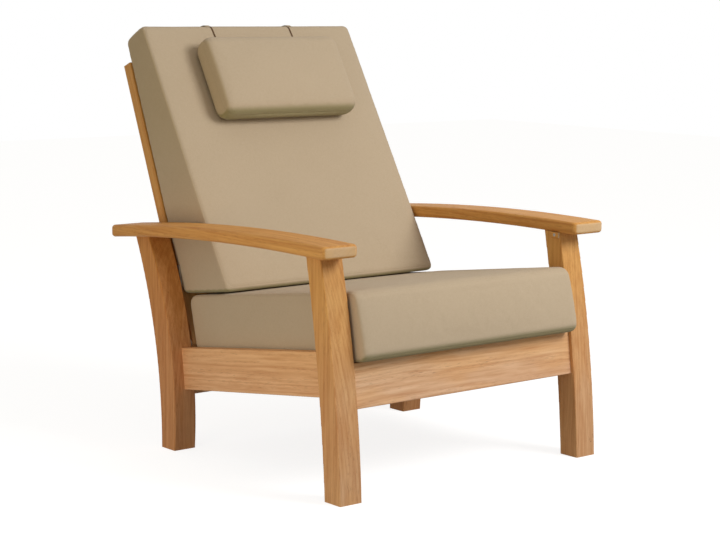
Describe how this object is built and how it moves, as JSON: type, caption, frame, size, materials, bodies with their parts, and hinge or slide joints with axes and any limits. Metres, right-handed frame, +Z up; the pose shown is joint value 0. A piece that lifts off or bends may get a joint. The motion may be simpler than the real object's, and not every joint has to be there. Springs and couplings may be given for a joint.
{
  "type": "reclining armchair",
  "caption": "Low wooden armchair with bowed legs, arched arms, a tipped seat frame, a reclining slatted back, thick box cushions and a head pillow.",
  "frame": {"origin": "on the floor, under the middle of the chair's bounding box", "axes": "+Z up, +Y towards the back of the chair, +X towards the sitter's left side; the sitter faces -Y"},
  "size_m": [0.848, 0.9518, 1.008],
  "materials": {
    "teak": "sanded, oiled, straight grain",
    "tan_cloth": "plain woven outdoor cloth",
    "brown_strap": "flat woven strap",
    "steel": "brushed stainless",
    "brass": "plain",
    "nylon": "plain"
  },
  "bodies": {
    "frame": {"arm_block_screws": "steel", "arm_blocks": "teak", "arm_left": "teak", "arm_right": "teak", "cleat_screws": "steel", "deck_screws": "steel", "front_leg_left": "teak", "front_leg_right": "teak", "front_rail": "teak", "hinge_bolts": "steel", "hinge_inserts": "brass", "hinge_spacers": "nylon", "quadrant_left": "steel", "quadrant_right": "steel", "quadrant_screws": "steel", "quadrant_spacers": "steel", "rear_leg_left": "teak", "rear_leg_right": "teak", "rear_rail": "teak", "seat_bearer": "teak", "seat_cleat_left": "teak", "seat_cleat_right": "teak", "seat_cushion": "tan_cloth", "seat_slats": "teak", "side_rail_left": "teak", "side_rail_right": "teak", "tenon_pegs": "teak"},
    "back": {"back_stile_left": "teak", "back_stile_right": "teak", "back_top_rail": "teak", "back_bottom_rail": "teak", "back_slats": "teak", "back_pegs": "teak", "hinge_bushes": "brass", "clamp_bolts": "steel", "clamp_washers": "steel", "friction_discs": "nylon", "back_cushion": "tan_cloth", "head_pillow": "tan_cloth", "headrest_straps": "brown_strap", "strap_studs": "brass"},
    "thumb_nut_left": {"thumb_nut_left": "steel"},
    "thumb_nut_right": {"thumb_nut_right": "steel"}
  },
  "joints": [
    {"name": "back_recline", "type": "hinge", "parent": "frame", "child": "back", "pos_m": [0, 0.1907, 0.24996], "axis": [-1, 0, 0], "range_deg": [0, 20]},
    {"name": "thumb_nut_left_turn", "type": "hinge", "parent": "back", "child": "thumb_nut_left", "pos_m": [0.27, 0.25548, 0.40713], "axis": [-1, 0, 0], "range_deg": [0, 360]},
    {"name": "thumb_nut_right_turn", "type": "hinge", "parent": "back", "child": "thumb_nut_right", "pos_m": [-0.27, 0.25548, 0.40713], "axis": [1, 0, 0], "range_deg": [0, 360]}
  ]
}
